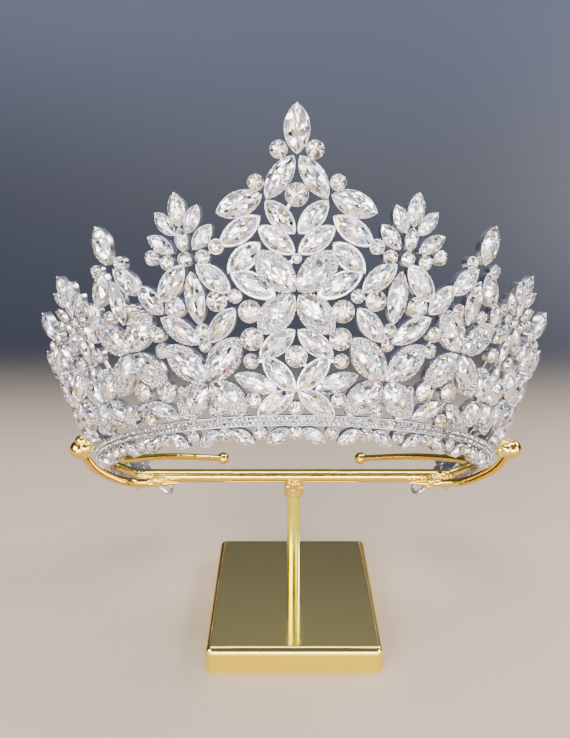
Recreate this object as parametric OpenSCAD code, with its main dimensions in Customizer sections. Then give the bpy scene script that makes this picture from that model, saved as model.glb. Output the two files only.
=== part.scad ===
// Pageant crown of claw-set crystals, open at the back, on its plain gold display stand.
// Millimetres, +Z up. Origin: centre of the base's underside. The crown's front looks along -Y.

/* [Stand base] */
// Side of the square base
base_side = 76; // [60:1:100]
// Height of the base
base_h = 12.5; // [8:0.5:20]
// Radius of the base's upright corners and top edge
base_round = 3; // [1:0.5:5]

/* [Stand post] */
// Diameter of the post
post_d = 6; // [4:0.5:9]
// Height of the cross bar's middle above the table
bar_z = 74.5; // [60:0.5:95]
// Wall of the socket that takes the post's top
socket_wall = 1.3; // [1:0.1:2]
// Depth of the socket
socket_depth = 6; // [4:0.5:9]
// Clearance round the post in its socket
socket_fit = 0.1; // [0.05:0.05:0.3]

/* [Stand cradle] */
// Diameter of the cross bar
bar_d = 5.8; // [4:0.2:8]
// Length of the cross bar
bar_len = 136; // [110:2:150]
// Distance between the two solder joints of the arms
joint_span = 121; // [100:1:130]
// Diameter of the arms' wire
arm_d = 3.6; // [3:0.2:5]
// Diameter of the balls on the arms' ends
ball_d = 7; // [5:0.5:10]
// How far the front balls stand apart
front_ball_span = 158; // [140:2:180]
// How far the front balls stand in front of the bar
front_ball_reach = 37; // [25:1:55]
// How far the front balls stand above the bar
front_ball_rise = 34; // [20:1:55]
// How far the rear balls stand apart
rear_ball_span = 79; // [60:1:110]
// How far the rear balls stand behind the bar
rear_ball_reach = 79; // [60:1:95]
// How far the rear balls hang below the bar
rear_ball_drop = 37; // [20:1:45]
// Where each front arm passes under the crown, along the band from its middle
front_seat = 92; // [80:1:105]
// Where each rear arm touches the band from inside, along the band from its middle
rear_seat = 136; // [125:1:150]
// Space left between the crown and the arms
seat_gap = 0.3; // [0.2:0.05:0.5]

/* [Crown band] */
// Half the crown's width at the band
band_half_w = 87.5; // [80:0.5:95]
// Half the depth of the full oval that the band follows
band_half_d = 77; // [70:0.5:85]
// Length along the band from its middle to each end
band_reach = 180; // [165:1:190]
// Height of the pave strip
strip_h = 3.6; // [2.5:0.1:5]
// Thickness of the pave strip
strip_t = 1.8; // [1.2:0.1:2.5]
// Outer diameter of the end rings
ring_d = 9.4; // [7:0.2:12]
// Diameter of the end rings' wire
ring_wire = 1.9; // [1.2:0.1:2.5]

/* [Crown wall] */
// Height of the crown from the strip's middle to the top spike's tip, up the wall
crown_h = 106; // [95:1:115]
// How far the wall leans out from the band's axis
wall_flare = 28.5; // [20:0.5:35]
// How far the crown leans back on its stand
crown_tilt = 41.5; // [35:0.5:48]
// How far the middle of the band's oval lies behind the bar
crown_back = 16.4; // [8:0.2:18]
// Height of the middle of the band's oval above the table
crown_z = 71.1; // [68:0.1:85]

/* [Settings and stones] */
// Depth of the cups
cup_h = 2.6; // [2:0.1:4]
// Rim of a cup round its stone
cup_lip = 0.4; // [0.2:0.05:0.8]
// Pave rim round each big petal
halo_w = 1.2; // [0.8:0.1:1.8]
// Thickness of the wires that join the cups behind
wire_t = 1.1; // [0.8:0.1:1.6]
// Space between a stone and its cup
stone_gap = 0.28; // [0.1:0.02:0.4]
// Height of a stone above its cup
stone_h = 2; // [1.5:0.1:3]
// Narrower stones than this have a setting but no solid of their own
least_stone = 3.8; // [3:0.1:4.5]
// Size of a stone's table against its outline
table_share = 0.52; // [0.4:0.02:0.7]
// Size of a stone's foot against its outline
foot_share = 0.8; // [0.6:0.02:0.95]

/* [Hidden] */
// Charts give places and sizes in hundredths of the crown's height.
pct = crown_h / 100;
bar_r = bar_d / 2;
arm_r = arm_d / 2;
post_r = post_d / 2;
ball_r = ball_d / 2;
CURVE_FN = 48;
OVAL_STEP = 2;

// The band's oval, by angle from the front, and the wall that stands on it
function unit(v) = v / norm(v);
function oval(t) = [band_half_w * sin(t), -band_half_d * cos(t), 0];
OVAL = [for (t = 0, s = 0; t <= 180; s = s + norm(oval(t + OVAL_STEP) - oval(t)), t = t + OVAL_STEP) [s, t]];
function oval_angle(s) = sign(s) * lookup(abs(s), OVAL);
function along(t) = unit([band_half_w * cos(t), band_half_d * sin(t), 0]);
function outward(t) = unit([sin(t) / band_half_w, -cos(t) / band_half_d, 0]);
function up_wall(t) = [0, 0, cos(wall_flare)] + outward(t) * sin(wall_flare);
function off_wall(t) = outward(t) * cos(wall_flare) - [0, 0, sin(wall_flare)];

// A place on the wall: s along the band, v up the wall, lift off it
function on_wall(s, v, lift = 0) =
    let (t = oval_angle(s)) oval(t) + up_wall(t) * v + off_wall(t) * lift;

// The same place once the crown leans back on its stand
function leaned(p) = [
    p.x,
    crown_back + p.y * cos(crown_tilt) + p.z * sin(crown_tilt),
    crown_z - p.y * sin(crown_tilt) + p.z * cos(crown_tilt)
];
module lean() translate([0, crown_back, crown_z]) rotate([-crown_tilt, 0, 0]) children();

// Puts what lies flat in X and Y onto the wall, turned in its plane
module onto_wall(s, v, turn = 0, lift = 0) {
    t = oval_angle(s);
    x = along(t);
    y = up_wall(t);
    z = off_wall(t);
    o = on_wall(s, v, lift);
    multmatrix([[x.x, y.x, z.x, o.x], [x.y, y.y, z.y, o.y], [x.z, y.z, z.z, o.z], [0, 0, 0, 1]])
        rotate([0, 0, turn]) children();
}

// A charted stone is [foot u, foot v, tip u, tip v, width, rim]; a round one has foot and tip in one.
PLAIN_RIM = 0;
PAVE_RIM = 1;
function flipped(g) = [-g[0], g[1], -g[2], g[3], g[4], g[5]];
function grown(g, u, v, k) = [u + g[0] * k, v + g[1] * k, u + g[2] * k, v + g[3] * k, g[4] * k, g[5]];

// Its setting in millimetres is [s, v, turn, length, width, rim]; a round one is as long as it is wide.
function in_mm(g) =
    let (
        s = (g[0] + g[2]) / 2 * pct, v = (g[1] + g[3]) / 2 * pct, t = oval_angle(s),
        run = on_wall(g[2] * pct, g[3] * pct) - on_wall(g[0] * pct, g[1] * pct),
        x = run * along(t), y = run * up_wall(t)
    )
    [s, v, atan2(y, x), max(norm([x, y]), g[4] * pct), g[4] * pct, g[5] == PAVE_RIM ? halo_w : cup_lip];
function is_round(g) = g[3] - g[4] < 0.01;
function both_sides(list) = [for (g = list) each [g, flipped(g)]];

// Rows of a chart of navettes: foot u, foot v, tip u, tip v, width
function navettes(rows) = [for (r = rows) [r[0], r[1], r[2], r[3], r[4], PLAIN_RIM]];
// Rows of a chart of round stones: u, v, diameter
function rounds(rows) = [for (r = rows) [r[0], r[1], r[0], r[1], r[2], PLAIN_RIM]];

// Four petals that open from a heart, one towards each corner
function flower(u, v, reach, rise, fall, w) = [
    for (side = [1, -1]) each [
        [u + side * 0.5, v + 0.6, u + side * reach, v + rise, w, PAVE_RIM],
        [u + side * 0.5, v - 0.6, u + side * reach, v - fall, w, PAVE_RIM]
    ]
];

// Leaves and dots of a leaf cluster, from its root
CLUSTER_LEAVES = navettes([
    [0, 10.6, 0, 21.4, 6],
    [0, 2.6, 0, 10.4, 4.6],
    [1.6, 8.2, 5.6, 16.4, 5.2],
    [-1.6, 8.2, -5.2, 16.4, 5.2],
    [2.6, 2.8, 8.8, 9.4, 5.4],
    [-2.6, 2.8, -8, 9.8, 5.4]
]);
CLUSTER_DOTS = rounds([[0, 0.2, 4.8], [4.9, 0, 4.8], [-4.7, 0, 4.8], [8.9, 2.6, 5], [-8.5, 2.8, 5]]);
function cluster(u, v, k) = [for (g = concat(CLUSTER_LEAVES, CLUSTER_DOTS)) grown(g, u, v, k)];

// A smaller cluster of three leaves and two dots, from its root
TREFOIL = concat(
    navettes([[0, 3, 0, 17, 7.4], [2, 2, 8.6, 10.6, 6.4], [-2, 2, -8.6, 10.6, 6.4]]),
    rounds([[5, -0.8, 5], [-5, -0.8, 5]])
);
function trefoil(u, v, k) = [for (g = TREFOIL) grown(g, u, v, k)];

// A spike of one upright stone between two dots, from its root
SPIKE = concat(navettes([[0, 1, 0, 14.4, 7.8]]), rounds([[4.2, 0.2, 4.8], [-4.2, 0.2, 4.8]]));
function spike(u, v, k) = [for (g = SPIKE) grown(g, u, v, k)];

// The middle plume: the stones on its line, and the leaves and dots, one of each pair
PLUME_LINE = concat(navettes([[0, 85, 0, 100, 8.2]]), rounds([[0, 72.8, 7.4]]));
PLUME_LEAVES = navettes([
    [0.6, 84.4, 7, 71.8, 7.2],
    [7.8, 72.8, 18.8, 68.4, 8.2],
    [0.5, 60.8, 7.2, 71.2, 7],
    [8.4, 66.4, 18.8, 58.4, 7.6],
    [0.5, 54.6, 9.2, 63.3, 7.2],
    [8.8, 58.3, 17.4, 49.4, 7.6]
]);
PLUME_DOTS = rounds([[3.9, 86.4, 5.6], [9.2, 76.8, 5.2]]);

// Beside the middle flower, one of each pair
SHOULDER_PAIRS = concat(
    navettes([
        [5.4, 40.8, 17, 49.8, 7.6],
        [17.4, 43.4, 25.6, 53.4, 7.4],
        [28.8, 53.8, 37.6, 43.4, 7.8],
        [27.2, 34.2, 27.2, 51.4, 7],
        [27.8, 27.8, 38.4, 38, 7.4],
        [16.4, 38.2, 25, 27.8, 7]
    ]),
    rounds([
        [21.3, 41, 6.8], [33.4, 40.7, 7.2], [16.2, 42, 4.6], [12.6, 36.8, 7.4], [12.5, 27.8, 7.4],
        [13.2, 20.6, 5], [26.4, 31.8, 4.8], [26.4, 26.9, 4.2]
    ])
);

// Below the middle flower: the stones on its line, and one of each pair
FOOT_LINE = rounds([[0, 21.8, 7.2], [0, 4.7, 4.8], [0, 53.2, 3.2]]);
FOOT_PAIRS = concat(
    navettes([
        [0.3, 30.4, 10.6, 21.6, 7.2],
        [0.3, 10.2, 9.9, 22, 7.2],
        [0.4, 10.6, 12.4, 2.2, 7],
        [5.8, 10.6, 18.6, 16.2, 6.6]
    ]),
    rounds([
        [13.4, 7.6, 5.2], [26, 4.6, 5], [42.2, 13, 7.2], [40.6, 32.8, 5.2], [40.4, 27.2, 5],
        [17.4, 3, 2.6], [34.6, 3, 2.6], [36.6, 12.8, 3]
    ])
);

// Round the side flower, one of each pair
SIDE_PAIRS = concat(
    navettes([
        [49.6, 57.8, 43.4, 47.2, 7.2],
        [53, 57.8, 59.2, 47.4, 7.2],
        [43.4, 50, 37.4, 39.2, 7],
        [59.2, 49, 64, 40.4, 6],
        [51.3, 38.8, 51.3, 54.2, 6.8],
        [51, 10.2, 39.4, 3.4, 6.2],
        [52.2, 10.2, 62.6, 3.4, 6.2]
    ]),
    rounds([
        [46.8, 42.6, 4.8], [55.8, 42.6, 4.8], [51.6, 14.4, 6.8], [51.6, 4.4, 4.8], [66.2, 31.8, 5.6],
        [76.4, 31.6, 5.8]
    ])
);

// Towers behind the side tower, by columns: place along the band, root of the top, scale of the
// top, kind of top, height of the flower's heart, reach of its petals, their rise, fall and width
CLUSTER = 2;
THREE_LEAVES = 1;
ONE_SPIKE = 0;
TOWERS = [
    [71.2, 46.2, 0.86, CLUSTER, 14.8, 9.8, 11, 10.4, 9.4],
    [88.4, 46, 0.9, ONE_SPIKE, 20, 9, 11.4, 11.4, 9.2],
    [105, 36.4, 0.84, THREE_LEAVES, 13.4, 8.6, 10, 9, 8.6],
    [120, 32.6, 0.82, ONE_SPIKE, 14.8, 7.6, 9.4, 9.6, 8],
    [134, 24.4, 0.72, THREE_LEAVES, 10.8, 7.2, 8.2, 7, 7.4],
    [147, 21.4, 0.72, ONE_SPIKE, 9.8, 6.4, 7.4, 6.6, 6.6],
    [158.6, 14.4, 0.62, ONE_SPIKE, 7, 5.6, 5.8, 4.4, 5.8]
];
function tower_top(r) = r[3] == CLUSTER ? cluster(r[0], r[1], r[2])
    : r[3] == THREE_LEAVES ? trefoil(r[0], r[1], r[2]) : spike(r[0], r[1], r[2]);
function tower_flower(r) = flower(r[0], r[4], r[5], r[6], r[7], r[8]);

// Between the flower and the top: one upright stone, or two and a slanting pair where they have room
NECK_ROOM = 12;
NECK_BREAK = 0.3;
function tower_neck(r) =
    let (u = r[0], k = r[2], w = 5.4 * k, foot = r[4] + 3.4, tip = r[1] - w, middle = (foot + tip) / 2)
    navettes(r[1] - r[4] - r[6] > NECK_ROOM
        ? [
            [u - 1.6 * k, r[1] - 1.6 * k, u - 8 * k, r[1] - 11.6 * k, 7 * k],
            [u + 1.6 * k, r[1] - 1.6 * k, u + 8 * k, r[1] - 11.6 * k, 7 * k],
            [u, foot, u, middle - NECK_BREAK, w],
            [u, middle + NECK_BREAK, u, tip, w]
        ]
        : [[u, r[4] + 1.6, u, r[1] - k, w]]);

CENTRE_FLOWER = flower(0, 42.2, 10.2, 13.4, 12.6, 10.4);
LOW_FLOWERS = both_sides(flower(27.4, 14.6, 11.4, 13.8, 10.8, 10.4));
SIDE_FLOWERS = both_sides(flower(52, 28.6, 10.4, 13, 13.4, 10));

// The leaf cluster beside the plume and the spike over the side flower, one of each pair
SIDE_CLUSTER = cluster(28.3, 55.4, 1);
SIDE_SPIKE = spike(51.3, 59, 1);

// The fringe under the strip: dots a pitch apart, and between them stones that slant by turns
FRINGE_PITCH = 12;
fringe_turns = floor((band_reach - ring_d) / (FRINGE_PITCH * pct));
function fringe_slant(k) =
    let (near = k * FRINGE_PITCH + 2.2, far = k * FRINGE_PITCH + 9.8)
    k % 2 == 0 ? [near, -2.4, far, -7, 4.8] : [far, -2.4, near, -7, 4.8];
FRINGE = concat(
    rounds([[0, -3.6, 4.6]]),
    both_sides(rounds([for (k = [1 : fringe_turns]) [k * FRINGE_PITCH, -3.6, 4.6]])),
    both_sides(navettes([for (k = [0 : fringe_turns - 1]) fringe_slant(k)]))
);

// Main stones, each a piece of its own: name and setting
function named(stem, list) = [for (i = [0 : len(list) - 1]) [str(stem, i + 1), list[i]]];
MAIN_STONES = concat(
    [["top_spike_stone", PLUME_LINE[0]], ["plume_round_stone", PLUME_LINE[1]]],
    [["heart_round_stone", FOOT_LINE[0]]],
    named("plume_stone_", both_sides(PLUME_LEAVES)),
    named("centre_petal_", CENTRE_FLOWER),
    named("low_petal_", LOW_FLOWERS),
    named("side_petal_", SIDE_FLOWERS),
    named("side_spike_stone_", both_sides([SIDE_SPIKE[0]])),
    named("cluster_tip_stone_", both_sides([SIDE_CLUSTER[0]]))
);

// Fields of smaller stones, each field a piece: name and settings
function tail(list, from) = [for (i = [from : len(list) - 1]) list[i]];
function towers(from, to) = [
    for (i = [from : to]) each concat(tower_top(TOWERS[i]), tower_flower(TOWERS[i]), tower_neck(TOWERS[i]))
];
FIELDS = [
    ["plume_dots", concat(both_sides(PLUME_DOTS), [FOOT_LINE[2]])],
    ["shoulder_stones", both_sides(SHOULDER_PAIRS)],
    ["foot_stones", concat([FOOT_LINE[1]], both_sides(FOOT_PAIRS))],
    ["cluster_stones", both_sides(tail(SIDE_CLUSTER, 1))],
    ["side_stones", both_sides(concat(SIDE_PAIRS, tail(SIDE_SPIKE, 1)))],
    ["right_tower_stones", towers(0, 1)],
    ["left_tower_stones", [for (g = towers(0, 1)) flipped(g)]],
    ["right_back_stones", towers(2, 6)],
    ["left_back_stones", [for (g = towers(2, 6)) flipped(g)]]
];
SETTINGS = [
    for (g = concat([for (m = MAIN_STONES) m[1]], [for (f = FIELDS) each f[1]], FRINGE)) in_mm(g)
];

// Outline of a setting or stone: round, or pointed at both ends
FULLNESS = 0.85;
MAIN_CORNERS = 12;
FIELD_CORNERS = 8;
function outline(l, w, n) = l - w < 0.01
    ? [for (i = [0 : n - 1]) [cos(360 * i / n), sin(360 * i / n)] * l / 2]
    : [for (i = [0 : n - 1])
        let (t = 1 - 4 * abs(i / n - 0.5), side = i < n / 2 ? 1 : -1)
        [-t * l / 2, side * pow(1 - t * t, FULLNESS) * w / 2]];

// A cut stone's rings, from its foot through its girdle to its table
function stone_size(g) = is_round(g)
    ? [g[3] - 2 * g[5], g[3] - 2 * g[5]]
    : [g[3] - 2 * g[5] * g[3] / g[4], g[4] - 2 * g[5]];
GIRDLE_SHARE = 0.3;
function ring_of_stone(g, n, share, lift) =
    let (
        t = oval_angle(g[0]), c = cos(g[2]), s = sin(g[2]), size = stone_size(g),
        o = on_wall(g[0], g[1], lift), x = along(t), y = up_wall(t)
    )
    [for (p = outline(size[0], size[1], n)) o + x * (p.x * c - p.y * s) * share + y * (p.x * s + p.y * c) * share];
function stone_points(g, n) =
    let (low = cup_h / 2 + stone_gap)
    concat(
        n > FIELD_CORNERS ? ring_of_stone(g, n, foot_share, low) : [],
        ring_of_stone(g, n, 1, n > FIELD_CORNERS ? low + stone_h * GIRDLE_SHARE : low),
        ring_of_stone(g, n, table_share, low + stone_h)
    );
function stack_faces(n, rings, first) = concat(
    [[for (i = [0 : n - 1]) first + i]],
    [for (k = [0 : rings - 2], i = [0 : n - 1])
        let (a = first + k * n, j = (i + 1) % n) [a + i, a + n + i, a + n + j, a + j]],
    [[for (i = [n - 1 : -1 : 0]) first + (rings - 1) * n + i]]
);
module stones(list, n) {
    rings = n > FIELD_CORNERS ? 3 : 2;
    lean() polyhedron(
        points = [for (g = list) each stone_points(g, n)],
        faces = [for (i = [0 : len(list) - 1]) each stack_faces(n, rings, i * n * rings)]
    );
}

// One setting, a solid block in the outline of its cup
function cup_corners(g) = g[4] < least_stone ? 6 : FIELD_CORNERS;
module cup(g) {
    onto_wall(g[0], g[1], g[2], -cup_h / 2)
        linear_extrude(cup_h) polygon(outline(g[3], g[4], cup_corners(g)));
}

// Circles that fill a setting's outline, as [middle, radius], to measure how far two settings stand apart
FILL = [-0.92, -0.7, -0.4, 0, 0.4, 0.7, 0.92];
function discs(g) =
    let (t = oval_angle(g[0]), o = on_wall(g[0], g[1]), d = along(t) * cos(g[2]) + up_wall(t) * sin(g[2]))
    is_round(g) ? [[o, g[3] / 2]] : [for (f = FILL) [o + d * f * g[3] / 2, (1 - f * f) * g[4] / 2]];
function disc_gap(a, b) = norm(a[0] - b[0]) - a[1] - b[1];
function least(list, i = 0, best = undef) = i >= len(list) ? best
    : least(list, i + 1, best == undef || list[i][0] < best[0] ? list[i] : best);
STRIP_V = 0.5;
NEAR = 3;
function links_down(sorted) =
    let (all = [for (g = sorted) discs(g)])
    [
        for (i = [0 : len(sorted) - 1])
            let (
                g = sorted[i],
                strip_line = on_wall(g[0], STRIP_V),
                to_strip = [for (a = all[i]) [norm(a[0] - strip_line) - a[1] - strip_h / 2, a, [strip_line, strip_h / 2]]],
                to_cups = [
                    for (j = [0 : 1 : i - 1])
                        if (abs(g[0] - sorted[j][0]) < (g[3] + sorted[j][3]) / 2 + NEAR
                            && abs(g[1] - sorted[j][1]) < (g[3] + sorted[j][3]) / 2 + NEAR)
                            for (a = all[i], b = all[j]) [disc_gap(a, b), a, b]
                ]
            )
            concat(least(concat(to_strip, to_cups)), [g])
    ];
function by_height(list) = len(list) < 2 ? list : let (
        pivot = abs(list[0][1]),
        rest = [for (i = [1 : len(list) - 1]) list[i]]
    ) concat(
        by_height([for (g = rest) if (abs(g[1]) < pivot) g]),
        [list[0]],
        by_height([for (g = rest) if (abs(g[1]) >= pivot) g])
    );

// A wire on the back of the cups, from inside one circle to inside the next, in the wall at g
SOLDERED = -1.1;
WIRE_HOLD = 1.1;
module wire(a, b, gap, g) {
    x = unit(b[0] - a[0]);
    z = off_wall(oval_angle(g[0]));
    y = unit(cross(z, x));
    w = cross(x, y);
    hold = min(WIRE_HOLD, a[1]);
    o = a[0] + x * (a[1] - hold) - w * (cup_h / 2 - 0.3) - y * wire_t / 2;
    multmatrix([[x.x, y.x, w.x, o.x], [x.y, y.y, w.y, o.y], [x.z, y.z, w.z, o.z], [0, 0, 0, 1]])
        cube([max(gap, 0) + hold + WIRE_HOLD, wire_t, wire_t]);
}

// The pave strip, a flat bar bent along the band
STRIP_STEP = 5;
STRIP_CORNERS = [[-1, -1], [1, -1], [1, 1], [-1, 1]];
module strip() {
    n = 2 * floor(band_reach / STRIP_STEP);
    polyhedron(
        points = [
            for (i = [0 : n], c = STRIP_CORNERS)
                on_wall(band_reach * (2 * i / n - 1), STRIP_V + c[0] * strip_h / 2, c[1] * strip_t / 2)
        ],
        faces = stack_faces(4, n + 1, 0)
    );
}

// A wire bent into a ring at each end of the band, for a ribbon or a pin
module end_ring(side)
    onto_wall(side * (band_reach + ring_wire), STRIP_V - ring_d / 2 - strip_h / 2 + ring_wire, 0)
        rotate_extrude($fn = CURVE_FN) translate([(ring_d - ring_wire) / 2, 0]) circle(d = ring_wire, $fn = 12);

module crown_frame() {
    sorted = by_height(SETTINGS);
    links = links_down(sorted);
    color("silver") lean() {
        for (g = sorted) cup(g);
        for (link = links) if (link[0] > SOLDERED) wire(link[1], link[2], link[0], link[3]);
        strip();
        end_ring(1);
        end_ring(-1);
    }
}

module main_stone(g) color("azure") stones([in_mm(g)], MAIN_CORNERS);
module field(list) color("azure") stones([
    for (g = list) let (m = in_mm(g)) if (stone_size(m)[1] >= least_stone) m
], FIELD_CORNERS);

// A smooth line through the points between the first and the last
ARM_STEPS = 6;
function blend(a, b, c, d, t) =
    (b * 2 + (c - a) * t + (a * 2 - b * 5 + c * 4 - d) * t * t + (b * 3 - a - c * 3 + d) * t * t * t) / 2;
function smooth(p) = concat(
    [for (i = [1 : len(p) - 3], k = [0 : ARM_STEPS - 1]) blend(p[i - 1], p[i], p[i + 1], p[i + 2], k / ARM_STEPS)],
    [p[len(p) - 2]]
);

// A round wire along a line, thinner at its foot
ARM_SIDES = 10;
FOOT_STEPS = 4;
module rod(line, r) {
    last = len(line) - 1;
    polyhedron(
        points = [
            for (i = [0 : last])
                let (
                    d = unit(line[min(i + 1, last)] - line[max(i - 1, 0)]),
                    x = unit(cross([0, 0, 1], d)),
                    y = cross(d, x),
                    q = r * min(1, 0.45 + 0.55 * i / FOOT_STEPS)
                )
                for (k = [0 : ARM_SIDES - 1])
                    line[i] + (x * cos(360 * k / ARM_SIDES) + y * sin(360 * k / ARM_SIDES)) * q
        ],
        faces = stack_faces(ARM_SIDES, last + 1, 0)
    );
}

// The arms and balls of one side
joint = [joint_span / 2, 0, bar_z - bar_r * 0.8];
fringe_foot = -7.6 * pct;
module arms(side) mirror([side > 0 ? 0 : 1, 0, 0]) {
    front_ball = [front_ball_span / 2, -front_ball_reach, bar_z + front_ball_rise];
    under = leaned(on_wall(front_seat, fringe_foot - arm_r - seat_gap, 0));
    front_knee = (joint + under) / 2 + [2.5, -0.5, -2];
    front_neck = (under + front_ball) / 2 + [0.6, -0.6, 0];
    start = joint + [-9.5, 2.5, 2.8];
    rod(smooth([start - [9, 0, 0], start, joint, front_knee, under, front_neck, front_ball, front_ball + [1, -6, 12]]), arm_r);
    translate(front_ball) sphere(ball_r, $fn = CURVE_FN);

    rear_ball = [rear_ball_span / 2, rear_ball_reach, bar_z - rear_ball_drop];
    inside = leaned(on_wall(rear_seat, 0, -strip_t / 2 - arm_r - seat_gap));
    rear_start = joint + [-9, -2, 2];
    rod(smooth([rear_start - [9, 0, 0], rear_start, joint, inside, (inside + rear_ball) / 2 + [6, 4, 0], rear_ball, rear_ball + [-20, 12, -6]]), arm_r);
    translate(rear_ball) sphere(ball_r, $fn = CURVE_FN);
}

module stand_cradle() color("goldenrod") {
    difference() {
        union() {
            translate([-bar_len / 2, 0, bar_z]) rotate([0, 90, 0]) cylinder(h = bar_len, r = bar_r, $fn = CURVE_FN);
            translate([0, 0, bar_z - bar_r - socket_depth])
                cylinder(h = socket_depth + bar_r, r = post_r + socket_fit + socket_wall, $fn = CURVE_FN);
        }
        translate([0, 0, bar_z - bar_r - socket_depth - 1])
            cylinder(h = socket_depth + 1, r = post_r + socket_fit, $fn = CURVE_FN);
    }
    arms(1);
    arms(-1);
}

module stand_post() color("goldenrod")
    translate([0, 0, base_h + socket_fit])
        cylinder(h = bar_z - bar_r - base_h - 2 * socket_fit, r = post_r, $fn = CURVE_FN);

// The base, rounded at its upright corners and round its top
module base_section(half) {
    square([half, base_h - base_round]);
    square([half - base_round, base_h]);
    translate([half - base_round, base_h - base_round]) circle(base_round, $fn = CURVE_FN);
}
module stand_base() color("goldenrod") {
    half = base_side / 2;
    inner = half - base_round;
    for (x = [-inner, inner], y = [-inner, inner]) translate([x, y, 0])
        rotate_extrude($fn = CURVE_FN) {
            square([base_round, base_h - base_round]);
            intersection() {
                translate([0, base_h - base_round]) circle(base_round, $fn = CURVE_FN);
                square([base_round, base_h]);
            }
        }
    for (turn = [0 : 90 : 270]) rotate([0, 0, turn])
        translate([0, inner, 0]) rotate([90, 0, 0]) linear_extrude(2 * inner) base_section(half);
}

crown_frame();
stand_base();
stand_post();
stand_cradle();
for (m = MAIN_STONES) main_stone(m[1]);
for (f = FIELDS) field(f[1]);
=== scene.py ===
# %% [markdown]
# # A pageant crown on its gold stand
# The solid model comes first and stays where it is: a soldered frame of cups on a band, the cut
# stones, and a stand of base, post and cradle. This lesson dresses it. The stones get their real
# brilliant cut, the cups get smooth walls and claws, and every metal gets its own finish.

# %% Load the solid model
import math

import bmesh
import bpy
import numpy as np
from mathutils import Matrix, Vector


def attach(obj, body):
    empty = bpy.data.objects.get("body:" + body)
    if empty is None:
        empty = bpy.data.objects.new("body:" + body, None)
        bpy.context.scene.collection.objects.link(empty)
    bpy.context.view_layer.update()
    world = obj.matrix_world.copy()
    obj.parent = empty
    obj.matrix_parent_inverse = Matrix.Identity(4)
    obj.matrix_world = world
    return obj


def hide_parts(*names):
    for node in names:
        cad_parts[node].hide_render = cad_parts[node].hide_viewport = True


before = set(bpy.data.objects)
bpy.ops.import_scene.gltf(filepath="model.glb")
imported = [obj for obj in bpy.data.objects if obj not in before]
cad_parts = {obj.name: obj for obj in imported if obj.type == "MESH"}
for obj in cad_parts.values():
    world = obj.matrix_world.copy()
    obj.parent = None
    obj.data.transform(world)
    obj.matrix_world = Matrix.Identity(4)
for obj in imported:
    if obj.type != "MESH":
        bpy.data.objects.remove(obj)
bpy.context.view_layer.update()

MM = 0.001
print("solid model:", len(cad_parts), "nodes")

# %% [markdown]
# ## Camera
# The photograph looks slightly down at the crown from the front. Its vertical field of view fits
# a lens of 31.2 mm on a sensor that is 36 mm high.

# %% Camera
LOOKS_DOWN, LENS, SENSOR_H = 22.1, 31.22, 36
camera = bpy.data.objects.new("camera", bpy.data.cameras.new("camera"))
camera.location = (-3.9 * MM, -243.0 * MM, 223.8 * MM)
camera.rotation_euler = (math.radians(90 - LOOKS_DOWN), 0, 0)
camera.data.sensor_fit = "VERTICAL"
camera.data.sensor_height = SENSOR_H
camera.data.lens = LENS
camera.data.clip_start = 0.01
bpy.context.scene.collection.objects.link(camera)
bpy.context.scene.camera = camera
print("camera looks down", LOOKS_DOWN, "degrees")

# %% [markdown]
# ## Small helpers
# Every material and every Geometry Nodes tree is a set of nodes, so one helper adds a node with
# its settings and links. Colours are picked as sRGB hex values and turned to linear light. Two more
# helpers join rings of corners into a closed form, and turn a finished form into an object.

# %% Helpers for nodes, colours and forms
def add(tree, kind, inputs=None, **settings):
    """Adds one node, with its settings and with a value or a link for each input."""
    made = tree.nodes.new(kind)
    for name, value in settings.items():
        setattr(made, name, value)
    for key, value in (inputs or {}).items():
        if isinstance(value, bpy.types.NodeSocket):
            tree.links.new(value, made.inputs[key])
        else:
            made.inputs[key].default_value = value
    return made


def linear(code, alpha=1.0):
    """An sRGB hex colour as linear light."""
    parts = [int(code[i:i + 2], 16) / 255 for i in (1, 3, 5)]
    return (*[c / 12.92 if c <= 0.04045 else ((c + 0.055) / 1.055) ** 2.4 for c in parts], alpha)


def finish(name):
    """A new material with its tree and its Principled shader."""
    made = bpy.data.materials.new(name)
    made.use_nodes = True
    return made, made.node_tree, made.node_tree.nodes["Principled BSDF"]


def skin(mesh, rings, smooth=False):
    """Joins rings of corners into a closed form."""
    for low, high in zip(rings, rings[1:]):
        for i in range(len(low)):
            j = (i + 1) % len(low)
            mesh.faces.new((low[i], low[j], high[j], high[i])).smooth = smooth
    mesh.faces.new(rings[0][::-1])
    mesh.faces.new(rings[-1])


def shape_from(mesh, name):
    """An object from a finished form, not yet in the scene."""
    made = bpy.data.meshes.new(name)
    mesh.to_mesh(made)
    mesh.free()
    return bpy.data.objects.new(name, made)


# %% [markdown]
# ## The crown's wall
# The band follows an oval, and the wall of stones stands on it and flares out. The whole crown
# then leans back on its stand. A place on the wall is s along the band and v up the wall, in
# millimetres, and these are the same rules and sizes that the solid model follows.

# %% The wall
BAND_HALF_W, BAND_HALF_D, BAND_REACH = 87.5, 77.0, 180.0
WALL_FLARE, CROWN_TILT = math.radians(28.5), math.radians(41.5)
CROWN_H, CROWN_BACK, CROWN_Z = 106.0, 16.4, 71.1
HUNDREDTH = CROWN_H / 100

turns = np.radians(np.arange(0, 181, 2))
steps = np.stack([BAND_HALF_W * np.sin(turns), -BAND_HALF_D * np.cos(turns)], 1)
runs = np.concatenate([[0], np.cumsum(np.linalg.norm(np.diff(steps, axis=0), axis=1))])


def leaned(p):
    """A point of the upright crown, once it leans back on its stand."""
    x, y, z = p
    c, s = math.cos(CROWN_TILT), math.sin(CROWN_TILT)
    return np.array([x, CROWN_BACK + y * c + z * s, CROWN_Z - y * s + z * c])


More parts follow.
